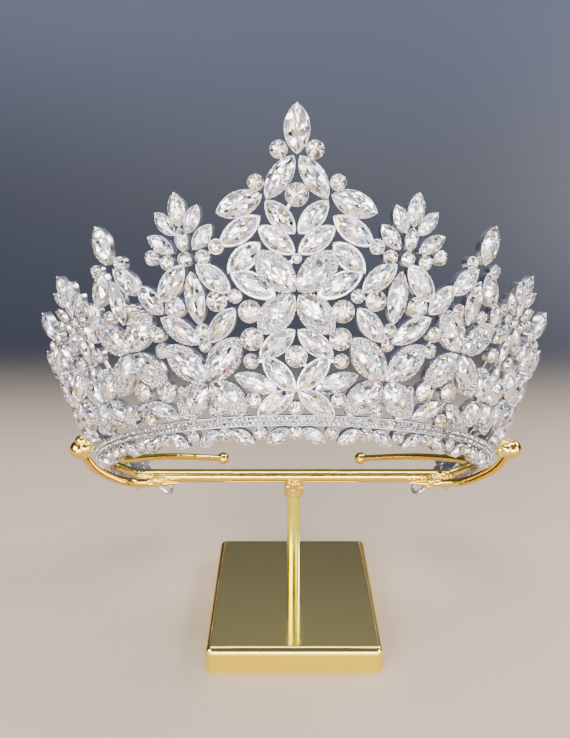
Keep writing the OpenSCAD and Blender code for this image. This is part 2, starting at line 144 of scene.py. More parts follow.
def wall_axes(s):
    """The wall's foot at s, and its directions along the band, up the wall and off it."""
    t = math.copysign(np.interp(abs(s), runs, turns), s)
    foot = np.array([BAND_HALF_W * math.sin(t), -BAND_HALF_D * math.cos(t), 0])
    along = np.array([BAND_HALF_W * math.cos(t), BAND_HALF_D * math.sin(t), 0])
    out = np.array([math.sin(t) / BAND_HALF_W, -math.cos(t) / BAND_HALF_D, 0])
    along, out = along / np.linalg.norm(along), out / np.linalg.norm(out)
    up = np.array([0, 0, math.cos(WALL_FLARE)]) + out * math.sin(WALL_FLARE)
    off = out * math.cos(WALL_FLARE) - np.array([0, 0, math.sin(WALL_FLARE)])
    return foot, along, up, off


def on_wall(s, v, lift=0.0):
    foot, along, up, off = wall_axes(s)
    return foot + up * v + off * lift


tip = leaned(on_wall(0, CROWN_H))
print("top spike's tip at", tip.round(1), "mm")

# %% [markdown]
# ## The chart of stones
# A jeweller lays the stones out on paper first. Each pointed stone runs from a foot to a tip, and
# each round one sits at a place, in hundredths of the crown's height. Petals have a pave rim.

# %% The chart
PLAIN, PAVE = 0, 1


def navettes(*rows):
    return [(*row, PLAIN) for row in rows]


def rounds(*rows):
    return [(u, v, u, v, w, PLAIN) for u, v, w in rows]


def both_sides(stones):
    return [g for u, v, a, b, w, rim in stones for g in ((u, v, a, b, w, rim), (-u, v, -a, b, w, rim))]


def other_side(stones):
    return [(-u, v, -a, b, w, rim) for u, v, a, b, w, rim in stones]


def grown(stones, u, v, k):
    return [(u + g[0] * k, v + g[1] * k, u + g[2] * k, v + g[3] * k, g[4] * k, g[5]) for g in stones]


def flower(u, v, reach, rise, fall, w):
    return [
        (u + side * 0.5, v + up * 0.6, u + side * reach, v + (rise if up > 0 else -fall), w, PAVE)
        for side in (1, -1) for up in (1, -1)
    ]


CLUSTER = navettes(
    (0, 10.6, 0, 21.4, 6), (0, 2.6, 0, 10.4, 4.6), (1.6, 8.2, 5.6, 16.4, 5.2),
    (-1.6, 8.2, -5.2, 16.4, 5.2), (2.6, 2.8, 8.8, 9.4, 5.4), (-2.6, 2.8, -8, 9.8, 5.4),
) + rounds((0, 0.2, 4.8), (4.9, 0, 4.8), (-4.7, 0, 4.8), (8.9, 2.6, 5), (-8.5, 2.8, 5))
TREFOIL = navettes(
    (0, 3, 0, 17, 7.4), (2, 2, 8.6, 10.6, 6.4), (-2, 2, -8.6, 10.6, 6.4),
) + rounds((5, -0.8, 5), (-5, -0.8, 5))
SPIKE = navettes((0, 1, 0, 14.4, 7.8)) + rounds((4.2, 0.2, 4.8), (-4.2, 0.2, 4.8))

PLUME_LINE = navettes((0, 85, 0, 100, 8.2)) + rounds((0, 72.8, 7.4))
PLUME_PAIRS = navettes(
    (0.6, 84.4, 7, 71.8, 7.2), (7.8, 72.8, 18.8, 68.4, 8.2), (0.5, 60.8, 7.2, 71.2, 7),
    (8.4, 66.4, 18.8, 58.4, 7.6), (0.5, 54.6, 9.2, 63.3, 7.2), (8.8, 58.3, 17.4, 49.4, 7.6),
) + rounds((3.9, 86.4, 5.6), (9.2, 76.8, 5.2))
SHOULDER_PAIRS = navettes(
    (5.4, 40.8, 17, 49.8, 7.6), (17.4, 43.4, 25.6, 53.4, 7.4), (28.8, 53.8, 37.6, 43.4, 7.8),
    (27.2, 34.2, 27.2, 51.4, 7), (27.8, 27.8, 38.4, 38, 7.4), (16.4, 38.2, 25, 27.8, 7),
) + rounds(
    (21.3, 41, 6.8), (33.4, 40.7, 7.2), (16.2, 42, 4.6), (12.6, 36.8, 7.4), (12.5, 27.8, 7.4),
    (13.2, 20.6, 5), (26.4, 31.8, 4.8), (26.4, 26.9, 4.2),
)
FOOT_LINE = rounds((0, 21.8, 7.2), (0, 4.7, 4.8), (0, 53.2, 3.2))
FOOT_PAIRS = navettes(
    (0.3, 30.4, 10.6, 21.6, 7.2), (0.3, 10.2, 9.9, 22, 7.2), (0.4, 10.6, 12.4, 2.2, 7),
    (5.8, 10.6, 18.6, 16.2, 6.6),
) + rounds(
    (13.4, 7.6, 5.2), (26, 4.6, 5), (42.2, 13, 7.2), (40.6, 32.8, 5.2), (40.4, 27.2, 5),
    (17.4, 3, 2.6), (34.6, 3, 2.6), (36.6, 12.8, 3),
)
SIDE_PAIRS = navettes(
    (49.6, 57.8, 43.4, 47.2, 7.2), (53, 57.8, 59.2, 47.4, 7.2), (43.4, 50, 37.4, 39.2, 7),
    (59.2, 49, 64, 40.4, 6), (51.3, 38.8, 51.3, 54.2, 6.8), (51, 10.2, 39.4, 3.4, 6.2),
    (52.2, 10.2, 62.6, 3.4, 6.2),
) + rounds(
    (46.8, 42.6, 4.8), (55.8, 42.6, 4.8), (51.6, 14.4, 6.8), (51.6, 4.4, 4.8), (66.2, 31.8, 5.6),
    (76.4, 31.6, 5.8),
)

# %% The towers behind the side tower
TOWERS = [
    (71.2, 46.2, 0.86, CLUSTER, 14.8, 9.8, 11, 10.4, 9.4),
    (88.4, 46, 0.9, SPIKE, 20, 9, 11.4, 11.4, 9.2),
    (105, 36.4, 0.84, TREFOIL, 13.4, 8.6, 10, 9, 8.6),
    (120, 32.6, 0.82, SPIKE, 14.8, 7.6, 9.4, 9.6, 8),
    (134, 24.4, 0.72, TREFOIL, 10.8, 7.2, 8.2, 7, 7.4),
    (147, 21.4, 0.72, SPIKE, 9.8, 6.4, 7.4, 6.6, 6.6),
    (158.6, 14.4, 0.62, SPIKE, 7, 5.6, 5.8, 4.4, 5.8),
]
NECK_ROOM, NECK_BREAK = 12, 0.3


def tower(u, root, k, top, heart, reach, rise, fall, w):
    foot, tip, width = heart + 3.4, root - 5.4 * k, 5.4 * k
    middle = (foot + tip) / 2
    neck = [(u, heart + 1.6, u, root - k, width)]
    if root - heart - rise > NECK_ROOM:
        neck = [
            (u - 1.6 * k, root - 1.6 * k, u - 8 * k, root - 11.6 * k, 7 * k),
            (u + 1.6 * k, root - 1.6 * k, u + 8 * k, root - 11.6 * k, 7 * k),
            (u, foot, u, middle - NECK_BREAK, width), (u, middle + NECK_BREAK, u, tip, width),
        ]
    return grown(top, u, root, k) + flower(u, heart, reach, rise, fall, w) + navettes(*neck)


near_towers = [g for row in TOWERS[:2] for g in tower(*row)]
back_towers = [g for row in TOWERS[2:] for g in tower(*row)]

FRINGE_PITCH, FRINGE_TURNS = 12, 13
fringe = rounds((0, -3.6, 4.6))
for k in range(FRINGE_TURNS):
    near, far = k * FRINGE_PITCH + 2.2, k * FRINGE_PITCH + 9.8
    lean = (near, -2.4, far, -7, 4.8) if k % 2 == 0 else (far, -2.4, near, -7, 4.8)
    fringe += both_sides(navettes(lean)) + both_sides(rounds(((k + 1) * FRINGE_PITCH, -3.6, 4.6)))
print("fringe stones:", len(fringe))

# %% [markdown]
# ## Settings
# A setting is a stone's place: where its middle sits, how it turns, and how long and wide its cup
# is. A jeweller cuts the stone a little smaller than its cup, and the pave rim takes more.

# %% Settings
CUP_RIM, PAVE_SHARE = 0.13, 0.78


class Setting:
    """One stone's seat on the wall, in millimetres."""

    def __init__(self, g):
        u, v, a, b, w, rim = g
        s, height = (u + a) / 2 * HUNDREDTH, (v + b) / 2 * HUNDREDTH
        self.foot, along, up, off = wall_axes(s)
        run = on_wall(a * HUNDREDTH, b * HUNDREDTH) - on_wall(u * HUNDREDTH, v * HUNDREDTH)
        x, y = run @ along, run @ up
        self.width = w * HUNDREDTH
        self.length = max(math.hypot(x, y), self.width)
        self.round = self.length - self.width < 0.01
        self.pave = rim == PAVE
        turn = 0 if self.round else math.atan2(y, x)
        self.middle = on_wall(s, height)
        origin = leaned((0, 0, 0))
        way = along * math.cos(turn) + up * math.sin(turn)
        self.x, self.z = leaned(way) - origin, leaned(off) - origin
        self.y = np.cross(self.z, self.x)
        self.full = self.share = PAVE_SHARE if self.pave else 1 - 2 * CUP_RIM / self.width
        self.slid = -(1 - self.share) / 2 * self.length if self.pave else 0.0
        self.stone_h = min(1.9, max(0.9, 0.25 * self.width))

    def at(self, lift, x=0.0, y=0.0):
        """A place over the setting, in the model's own frame, in metres."""
        return (leaned(self.middle) + self.z * lift + self.x * x + self.y * y) * MM

    def edge(self, angle, share=1.0):
        """A place on the cup's outline, as distances along and across."""
        power = 1 if self.round else TIP_POWER
        side = math.sin(angle)
        return (
            share * self.length / 2 * math.cos(angle),
            share * self.width / 2 * math.copysign(abs(side) ** power, side),
        )

    def outline(self, corners=32):
        """The cut stone's edge, in millimetres."""
        edge = [self.edge(a, self.share) for a in np.linspace(0, math.tau, corners, endpoint=False)]
        return np.array([self.at(0, x + self.slid, y) for x, y in edge]) / MM

    def covers(self, places, spare):
        """Whether any of the places lies on the cut stone, or within a spare width of it."""
        offset = places - leaned(self.middle)
        x = (offset @ self.x - self.slid) / (self.share * self.length / 2 + spare)
        y = np.abs(offset @ self.y) / (self.share * self.width / 2 + spare)
        power = 0.5 if self.round else TIP_POWER / 2
        return bool((y < np.clip(1 - x * x, 0, None) ** power).any())

    def turned(self, x=1.0, y=0.0):
        """The angles that turn a shape's X to a direction in the wall, and its Z off the wall."""
        way = (self.x * x + self.y * y) / math.hypot(x, y)
        return tuple(Matrix(np.stack([way, np.cross(self.z, way), self.z], 1).tolist()).to_euler())


TIP_POWER = 1.5


def settings(stones):
    return [Setting(g) for g in stones]


flowers = flower(0, 42.2, 10.2, 13.4, 12.6, 10.4)
low_flowers = both_sides(flower(27.4, 14.6, 11.4, 13.8, 10.8, 10.4))
side_flowers = both_sides(flower(52, 28.6, 10.4, 13, 13.4, 10))
tip_clusters = grown(CLUSTER, 28.3, 55.4, 1)
side_spikes = grown(SPIKE, 51.3, 59, 1)


def one_each(stem, stones):
    return {stem + str(i + 1): [g] for i, g in enumerate(stones)}


CHART = {
    "top_spike_stone": [PLUME_LINE[0]],
    "plume_round_stone": [PLUME_LINE[1]],
    "heart_round_stone": [FOOT_LINE[0]],
    **one_each("plume_stone_", both_sides(PLUME_PAIRS[:6])),
    **one_each("centre_petal_", flowers),
    **one_each("low_petal_", low_flowers),
    **one_each("side_petal_", side_flowers),
    **one_each("side_spike_stone_", both_sides(side_spikes[:1])),
    **one_each("cluster_tip_stone_", both_sides(tip_clusters[:1])),
    "plume_dots": both_sides(PLUME_PAIRS[6:]) + [FOOT_LINE[2]],
    "shoulder_stones": both_sides(SHOULDER_PAIRS),
    "foot_stones": [FOOT_LINE[1]] + both_sides(FOOT_PAIRS),
    "cluster_stones": both_sides(tip_clusters[1:]),
    "side_stones": both_sides(SIDE_PAIRS + side_spikes[1:]),
    "right_tower_stones": near_towers,
    "left_tower_stones": other_side(near_towers),
    "right_back_stones": back_towers,
    "left_back_stones": other_side(back_towers),
}
seats = {node: settings(stones) for node, stones in CHART.items()}
seats["fringe_stones"] = settings(fringe)
every_seat = [seat for group in seats.values() for seat in group]
missing = sorted(set(CHART) - set(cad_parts))

# %% [markdown]
# Where the chart crowds two stones, the jeweller takes the next smaller size. Here the plain stones
# give way a little at a time, and a leaf keeps the end that lies away from a petal. Two petals keep
# their size, for their pave, and slide apart.

# %% Keep the stones clear of each other
CLEARANCE, GIVE_WAY, PETAL_STEP, TRIES = 0.03, 0.985, 0.1, 16


def near_to(a, b):
    return a.covers(b.outline(), CLEARANCE) or b.covers(a.outline(), CLEARANCE)


def give_way(seat, other):
    away = math.copysign(1, (leaned(seat.middle) - leaned(other.middle)) @ seat.x)
    if not seat.pave:
        seat.share *= GIVE_WAY
        if other.pave and not seat.round:
            seat.slid = away * (seat.full - seat.share) / 2 * seat.length
    elif other.pave:
        seat.slid += away * PETAL_STEP


neighbours = [
    (a, b) for i, a in enumerate(every_seat) for b in every_seat[i + 1:]
    if np.linalg.norm(a.middle - b.middle) < (a.length + b.length) / 2
]
for _ in range(TRIES):
    tight = [pair for pair in neighbours if near_to(*pair)]
    if not tight:
        break
    for a, b in tight:
        give_way(a, b)
        give_way(b, a)
print("pairs of stones still too near:", len(tight))
print(len(every_seat), "settings; charted pieces that the model lacks:", missing)

# %% [markdown]
# ## A brilliant's facets
# The stones are machine-cut crystal. From above, a brilliant has a flat table, eight star facets
# round it, eight kites, and sixteen narrow facets that run down to the girdle. A marquise is the
# same cut drawn out to two points. The mesh is one unit long, wide and high, so that a setting
# only scales it, and its map keeps each place as if the stone were a circle.

# %% Cut one stone
def cut_stone(name, power, table=0.54, shoulder=0.8, girdle=0.16):
    """A brilliant's mesh, from under its girdle to its table."""
    mesh = bmesh.new()
    chart = mesh.loops.layers.uv.new("cut")
    places = {}

    def ring(count, share, z, half=0):
        made = []
        for i in range(count):
            a = math.tau * (i + half) / count
            c, s = math.cos(a), math.sin(a)
            vert = mesh.verts.new((share * c / 2, share * math.copysign(abs(s) ** power, s) / 2, z))
            places[vert] = (0.5 + share * c / 2, 0.5 + share * s / 2)
            made.append(vert)
        return made

    fall = (shoulder * math.cos(math.pi / 8) - table) / (1 - table)
    top = ring(8, table, 1)
    mid = ring(8, shoulder, 1 - fall * (1 - girdle), 0.5)
    edge = ring(16, 1, girdle)
    low = ring(16, 1, 0)
    foot = ring(16, 0.9, -0.3)
    faces = [top, foot[::-1]]
    for i in range(8):
        j, g = (i + 1) % 8, 2 * i
        faces.append((top[i], mid[i], top[j]))
        faces.append((top[i], mid[i - 1], edge[g], mid[i]))
        faces.append((mid[i], edge[g], edge[g + 1]))
        faces.append((mid[i], edge[g + 1], edge[(g + 2) % 16]))
    for i in range(16):
        j = (i + 1) % 16
        faces.append((edge[i], low[i], low[j], edge[j]))
        faces.append((low[i], foot[i], foot[j], low[j]))
    for corners in faces:
        face = mesh.faces.new(corners)
        for loop in face.loops:
            loop[chart].uv = places[loop.vert]
    return shape_from(mesh, name)


round_cut = cut_stone("round_cut", 1)
marquise_cut = cut_stone("marquise_cut", TIP_POWER)
print("a brilliant has", len(round_cut.data.polygons), "faces")

# %% [markdown]
# ## Foil-backed crystal
# Stage crystals are leaded glass with a mirror of foil behind. Light goes in through the facets,
# meets the mirrored back facets and comes out again, so the eye sees a mosaic of white, grey and
# dark slivers and now and then a spark of colour. The shader draws that mosaic: slivers fan out
# from the stone's heart, each outer facet shifts them, and each sliver is a mirror with a tilt of
# its own under a clear glossy coat. The slivers' white, grey and dark tones are painted reflection
# and shade in the colour, and the tilted mirrors add real reflections to them. A stone can also be
# darkened towards its edge, as painted shade of its seat.

# %% Crystal
def crystal(name, colours, wedges, rings, tilt, shift=0.22, by_facet=1.0, seat_shadow=0.0):
    """Slivers that fan out from the heart; by_facet gives each facet its own set of them."""
    material, tree, shader = finish(name)

    def vector(operation, *values):
        return add(tree, "ShaderNodeVectorMath", dict(enumerate(values)), operation=operation)

    def number(operation, *values):
        return add(tree, "ShaderNodeMath", dict(enumerate(values)), operation=operation).outputs[0]

    def dice(*cell):
        place = add(tree, "ShaderNodeCombineXYZ", dict(enumerate(cell[:3])))
        return add(tree, "ShaderNodeTexWhiteNoise", {"Vector": place.outputs[0], "W": cell[3]},
                   noise_dimensions="4D")

    def ramp(value):
        tint = add(tree, "ShaderNodeValToRGB", {0: value})
        tint.color_ramp.interpolation = "CONSTANT"
        for at, code in colours:
            tint.color_ramp.elements.new(at).color = linear(code)
        tint.color_ramp.elements.remove(tint.color_ramp.elements[0])
        tint.color_ramp.elements.remove(tint.color_ramp.elements[-1])
        return tint.outputs["Color"]

    stone = add(tree, "ShaderNodeAttribute", attribute_name="stone").outputs["Fac"]
    facet = add(tree, "ShaderNodeAttribute", attribute_name="facet").outputs["Fac"]
    chart = add(tree, "ShaderNodeUVMap", uv_map="cut").outputs["UV"]
    centred = vector("SUBTRACT", chart, (0.5, 0.5, 0)).outputs[0]
    jump = vector("SUBTRACT", dice(0.0, 0.0, 0.0, facet).outputs["Color"], (0.5, 0.5, 0.5)).outputs[0]
    jump = vector("MULTIPLY", jump, (shift, shift, 0)).outputs[0]
    place = vector("ADD", centred, jump)
    parts = add(tree, "ShaderNodeSeparateXYZ", {0: place.outputs[0]})
    angle = number("ARCTAN2", parts.outputs["Y"], parts.outputs["X"])
    wedge = number("FLOOR", number("MULTIPLY_ADD", angle, wedges / math.tau, stone))
    start = dice(wedge, 0.0, 0.0, stone).outputs["Value"]
    far = vector("LENGTH", centred).outputs["Value"]
    reach = vector("LENGTH", place.outputs[0]).outputs["Value"]
    band = number("FLOOR", number("MULTIPLY_ADD", reach, 2 * rings, start))
    own = number("MULTIPLY", facet, by_facet)
    lot = dice(wedge, band, stone, own)
    colour = ramp(lot.outputs["Value"])
    # Painted shade: towards its edge the stone darkens to a dark brown, for the shade of its seat.
    shade = add(tree, "ShaderNodeMapRange", {
        "Value": far, "From Min": 0.36, "From Max": 0.5, "To Min": 0.0, "To Max": seat_shadow})
    colour = add(tree, "ShaderNodeMixRGB", {
        "Fac": shade.outputs["Result"], "Color1": colour, "Color2": linear("#2B2422")}).outputs["Color"]
    lean = vector("SUBTRACT", lot.outputs["Color"], (0.5, 0.5, 0.5)).outputs[0]
    lean = vector("MULTIPLY", lean, (tilt, tilt, tilt)).outputs[0]
    normal = add(tree, "ShaderNodeNewGeometry").outputs["Normal"]
    lean = vector("NORMALIZE", vector("ADD", normal, lean).outputs[0]).outputs[0]
    tree.links.new(colour, shader.inputs["Base Color"])
    tree.links.new(lean, shader.inputs["Normal"])
    shader.inputs["Metallic"].default_value = 0.78
    shader.inputs["Roughness"].default_value = 0.07
    shader.inputs["Coat Weight"].default_value = 1.0
    shader.inputs["Coat Roughness"].default_value = 0.02
    shader.inputs["Coat IOR"].default_value = 1.58
    return material


# Painted reflection and shade: the white, grey and dark tones of the slivers and the spokes.
SLIVERS = [
    (0.0, "#241C1B"), (0.07, "#4E4546"), (0.14, "#8C8690"), (0.22, "#C8C4CC"), (0.36, "#F0EEF2"),
    (0.56, "#FFFFFF"), (0.78, "#F1E4CC"), (0.855, "#D2B88A"), (0.895, "#F3BC22"), (0.925, "#46B9F2"),
    (0.945, "#A195F0"), (0.965, "#F08A5A"), (0.975, "#FFFFFF"),
]
SPOKES = [
    (0.0, "#3A2C26"), (0.14, "#7D6A5E"), (0.26, "#C9B7A4"), (0.42, "#EFE6DA"), (0.62, "#FFFFFF"),
    (0.84, "#E8D6B6"), (0.93, "#CFA45C"), (0.97, "#FFFFFF"),
]
crystal_large = crystal("foil_backed_crystal", SLIVERS, wedges=17, rings=3, tilt=0.62)
crystal_small = crystal("small_foil_backed_crystal", SLIVERS, wedges=13, rings=1.6, tilt=0.7)
crystal_round = crystal(
    "round_foil_backed_crystal", SPOKES, wedges=25, rings=1.1, tilt=0.5, shift=0.03, by_facet=0.0)
print("slivers in a large stone: about", 17 * 3)

# %% [markdown]
# ## Setting the stones
# A tree of Geometry Nodes puts a brilliant on each seat: the seats are bare points that carry how
# the stone turns and how large it is. One tree sets the round and the pointed stones, so a main
# stone, a field of small ones and the fringe are all made the same way.

# %% The tree that sets stones
def tree_with(name, *inputs):
    """An empty tree with named inputs, its input node and its output node."""
    tree = bpy.data.node_groups.new(name, "GeometryNodeTree")
    tree.interface.new_socket("Geometry", in_out="INPUT", socket_type="NodeSocketGeometry")
    tree.interface.new_socket("Geometry", in_out="OUTPUT", socket_type="NodeSocketGeometry")
    for label, kind in inputs:
        tree.interface.new_socket(label, in_out="INPUT", socket_type="NodeSocket" + kind)
    return tree, add(tree, "NodeGroupInput"), add(tree, "NodeGroupOutput")


def grow(tree, name, mesh, **values):
    """Runs a tree over a mesh and gives back the plain mesh it makes, as an object."""
    seed = bpy.data.objects.new(name + "_seed", mesh)
    bpy.context.scene.collection.objects.link(seed)
    modifier = seed.modifiers.new("grow", "NODES")
    modifier.node_group = tree
    for item in tree.interface.items_tree:
        if item.in_out == "INPUT" and item.name in values:
            modifier[item.identifier] = values[item.name]
    depsgraph = bpy.context.evaluated_depsgraph_get()
    made = bpy.data.meshes.new_from_object(seed.evaluated_get(depsgraph), depsgraph=depsgraph)
    made.name = name
    seed.modifiers.remove(modifier)
    bpy.data.objects.remove(seed)
    piece = bpy.data.objects.new(name, made)
    bpy.context.scene.collection.objects.link(piece)
    return piece


def number_each(tree, geometry, label, seed, domain="POINT"):
    """Stores a random number under a label on each element of the geometry."""
    lot = add(tree, "FunctionNodeRandomValue", {"Seed": seed}, data_type="FLOAT")
    stored = add(tree, "GeometryNodeStoreNamedAttribute", {
        "Geometry": geometry, "Name": label, "Value": lot.outputs[1]}, domain=domain)
    return stored.outputs["Geometry"]


def setter_tree(name):
    """Puts a round or a pointed shape on each seat, and numbers its facets."""
    tree, given, out = tree_with(
        name, ("Round", "Object"), ("Pointed", "Object"), ("Seed", "Int"),
        ("Material", "Material"), ("Round_Material", "Material"))
    turn = add(tree, "GeometryNodeInputNamedAttribute", {"Name": "turn"}, data_type="FLOAT_VECTOR")
    size = add(tree, "GeometryNodeInputNamedAttribute", {"Name": "size"}, data_type="FLOAT_VECTOR")
    is_round = add(tree, "GeometryNodeInputNamedAttribute", {"Name": "is_round"}, data_type="BOOLEAN")
    pointed = add(tree, "FunctionNodeBooleanMath", {0: is_round.outputs["Attribute"]}, operation="NOT")
    numbered = number_each(tree, given.outputs["Geometry"], "stone", given.outputs["Seed"])
    joined = add(tree, "GeometryNodeJoinGeometry")
    for label, chosen in (("Round", is_round.outputs["Attribute"]), ("Pointed", pointed.outputs[0])):
        shape = add(tree, "GeometryNodeObjectInfo", {"Object": given.outputs[label], "As Instance": True})
        placed = add(tree, "GeometryNodeInstanceOnPoints", {
            "Points": numbered, "Selection": chosen,
            "Instance": shape.outputs["Geometry"], "Rotation": turn.outputs["Attribute"],
            "Scale": size.outputs["Attribute"]})
        tree.links.new(placed.outputs["Instances"], joined.inputs["Geometry"])
    real = add(tree, "GeometryNodeRealizeInstances", {"Geometry": joined.outputs["Geometry"]})
    faceted = number_each(tree, real.outputs["Geometry"], "facet", given.outputs["Seed"], "FACE")
    dressed = add(tree, "GeometryNodeSetMaterial", {
        "Geometry": faceted, "Material": given.outputs["Material"]})
    dressed = add(tree, "GeometryNodeSetMaterial", {
        "Geometry": dressed.outputs["Geometry"], "Selection": is_round.outputs["Attribute"],
        "Material": given.outputs["Round_Material"]})
    tree.links.new(dressed.outputs["Geometry"], out.inputs["Geometry"])
    return tree


set_stones = setter_tree("set_stones")


def points(name, rows):
    """Bare points with a turn, a size and a shape: each row is place, turn, size and is_round."""
    mesh = bpy.data.meshes.new(name)
    mesh.from_pydata([row[0] for row in rows], [], [])
    for label, kind, key, column in (
        ("turn", "FLOAT_VECTOR", "vector", 1), ("size", "FLOAT_VECTOR", "vector", 2),
        ("is_round", "BOOLEAN", "value", 3),
    ):
        layer = mesh.attributes.new(label, kind, "POINT")
        values = [row[column] for row in rows]
        layer.data.foreach_set(key, np.array(values, bool if kind == "BOOLEAN" else np.float32).ravel())
    return mesh


# %% Set every stone
GIRDLE_LIFT = 1.62


def stone_row(seat):
    return (
        seat.at(GIRDLE_LIFT, seat.slid), seat.turned(),
        (seat.share * seat.length * MM, seat.share * seat.width * MM, seat.stone_h * MM), seat.round)


def dress(piece, slot, *replaced):
    """Hands a finished piece to the frame."""
    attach(piece, "root")
    if replaced:
        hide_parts(*replaced)
    return piece


facets = 0
for number, (name, group) in enumerate(seats.items()):
    large = len(group) == 1
    piece = grow(
        set_stones, "cut_" + name, points(name, [stone_row(seat) for seat in group]),
        Round=round_cut, Pointed=marquise_cut, Seed=number + 1,
        Material=crystal_large if large else crystal_small, Round_Material=crystal_round)
    facets += len(piece.data.polygons)
    dress(piece, "crystal", *([name] if name in CHART else []))
print("facets on", len(every_seat), "stones:", facets)

# %% [markdown]
# ## Rhodium-look plate
# The frame is cast in a tin or brass alloy, soldered, and plated with a thin white bright metal.
# The plate is a little soft to the eye, because the casting under it isn't perfectly smooth, so
# its gloss varies over a millimetre or two.

# %% Silver plate
def pattern(tree, size_mm, detail=2.0, stretch=(1, 1, 1)):
    """Cloudy noise on the object's own place, with clouds of about that size."""
    place = add(tree, "ShaderNodeTexCoord")
    scaled = add(tree, "ShaderNodeMapping", {"Vector": place.outputs["Object"], "Scale": stretch})
    return add(tree, "ShaderNodeTexNoise", {
        "Vector": scaled.outputs["Vector"], "Scale": 1 / (size_mm * MM), "Detail": detail})


def coat(tree, shader, tone, shade, bump):
    """Links a colour, a roughness and a bump to the shader."""
    tree.links.new(tone.outputs["Color"], shader.inputs["Base Color"])
    tree.links.new(shade.outputs["Result"], shader.inputs["Roughness"])
    tree.links.new(bump.outputs["Normal"], shader.inputs["Normal"])


rhodium, tree, shader = finish("rhodium_look_plate")
shader.inputs["Metallic"].default_value = 1.0
clouds = pattern(tree, 1.8)
shade = add(tree, "ShaderNodeMapRange", {"Value": clouds.outputs["Fac"], "To Min": 0.18, "To Max": 0.34})
tone = add(tree, "ShaderNodeMixRGB", {
    "Fac": clouds.outputs["Fac"], "Color1": linear("#C6C5CB"), "Color2": linear("#E6E5E8")})
dents = pattern(tree, 0.7)
bump = add(tree, "ShaderNodeBump", {"Height": dents.outputs["Fac"], "Strength": 0.1, "Distance": 0.15 * MM})
coat(tree, shader, tone, shade, bump)


def recoat(node, material):
    """Gives a node of the solid model a new finish, in the slots that it has."""
    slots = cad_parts[node].material_slots
    for slot in slots:
        slot.material = material
    return len(slots)


print("slots recoated on the frame:", recoat("crown_frame", rhodium))

# %% [markdown]
# ## Cups
# Each stone sits in a cup: a shallow dish with an upright wall whose lip closes on the stone's
# edge. The solid model has a plain block for each. Here it gets a smooth wall round it, and a
# petal's cup gets the flat rim that carries its pave. The setter raises beads of metal between the
# pave stones, so that rim has a grain of half a millimetre. Its plate is painted darker than bare
# plate, and darkest in the hollows between the beads, as painted shade between the stones.

# %% Cups
def shell(name, power, profile, corners=24):
    """A closed form from rings of one outline: each ring is a share of the outline and a height."""
    mesh = bmesh.new()
    rings = []
    for share, z in profile:
        ring = []
        for i in range(corners):
            c, s = math.cos(math.tau * i / corners), math.sin(math.tau * i / corners)
            ring.append(mesh.verts.new((share * c / 2, share * math.copysign(abs(s) ** power, s) / 2, z)))
        rings.append(ring)
    skin(mesh, rings, smooth=True)
    return shape_from(mesh, name)


shaded_beaded, tree, shader = finish("beaded_plate_painted_shade")
shader.inputs["Metallic"].default_value = 1.0
grains = pattern(tree, 0.45, detail=0.0)
# Painted shade: the plate is darker than bare plate, and darkest in the hollows between the beads, for the
# shade between the pave stones.
tone = add(tree, "ShaderNodeMixRGB", {
    "Fac": grains.outputs["Fac"], "Color1": linear("#77757C"), "Color2": linear("#C9C8CE")})
shade = add(tree, "ShaderNodeMapRange", {"Value": grains.outputs["Fac"], "To Min": 0.2, "To Max": 0.36})
bump = add(tree, "ShaderNodeBump", {"Height": grains.outputs["Fac"], "Strength": 0.8, "Distance": 0.25 * MM})
coat(tree, shader, tone, shade, bump)

CUP = [
    (0.95, -1.4), (1.0, -1.32), (1.012, -1.1), (1.012, 1.35), (1.003, 1.62), (0.985, 1.7), (0.965, 1.6),
    (0.95, 1.4),
]
PETAL_CUP = [(0.96, -1.4), (1.0, -1.32), (1.01, -1.1), (1.01, 1.45), (1.0, 1.55), (0.985, 1.55), (0.97, 1.36)]
PETAL_RIM = [(0.9, 1.2), (0.975, 1.3), (0.985, 1.5), (0.97, 1.56)]
round_cup = shell("round_cup", 1, CUP)
pointed_cup = shell("pointed_cup", TIP_POWER, CUP)
petal_cup = shell("petal_cup", TIP_POWER, PETAL_CUP)
petal_rim = shell("petal_rim", TIP_POWER, PETAL_RIM)


def cup_row(seat):
    return seat.at(0), seat.turned(), (seat.length * MM, seat.width * MM, MM), seat.round


plain_seats = [seat for seat in every_seat if not seat.pave]
petal_seats = [seat for seat in every_seat if seat.pave]
cups = grow(
    set_stones, "stone_cups", points("stone_cups", [cup_row(seat) for seat in plain_seats]),
    Round=round_cup, Pointed=pointed_cup, Seed=1, Material=rhodium, Round_Material=rhodium)
dress(cups, "silver_plate")
for name, shape, material in (("petal_cups", petal_cup, rhodium), ("petal_rims", petal_rim, shaded_beaded)):
    part = grow(
        set_stones, name, points(name, [cup_row(seat) for seat in petal_seats]),
        Round=round_cup, Pointed=shape, Seed=1, Material=material, Round_Material=material)
    dress(part, "silver_plate")
print("cups:", len(plain_seats), "plain and", len(petal_seats), "with a pave rim")

# %% [markdown]
# ## Claws
# Small claws are bent over the stone's edge and hold it: one at each point of a marquise and two
# on each side, or four round a round stone. Each is a rounded nub that leans in over the crystal.
# Blender makes a sphere's faces in another order each time, so they are sorted by where they lie.

# %% Claws
FACE_ORDER = Vector((1, 3, 100))


def nub(name):
    """A rounded nub, one unit long, wide and high."""
    mesh = bmesh.new()
    bmesh.ops.create_uvsphere(mesh, u_segments=8, v_segments=5, radius=0.5)
    mesh.faces.sort(key=lambda face: face.calc_center_median() @ FACE_ORDER)
    for face in mesh.faces:
        face.smooth = True
    return shape_from(mesh, name)


claw_shape = nub("claw_shape")
CLAW_SHARE, CLAW_LIFT = 0.985, 1.72


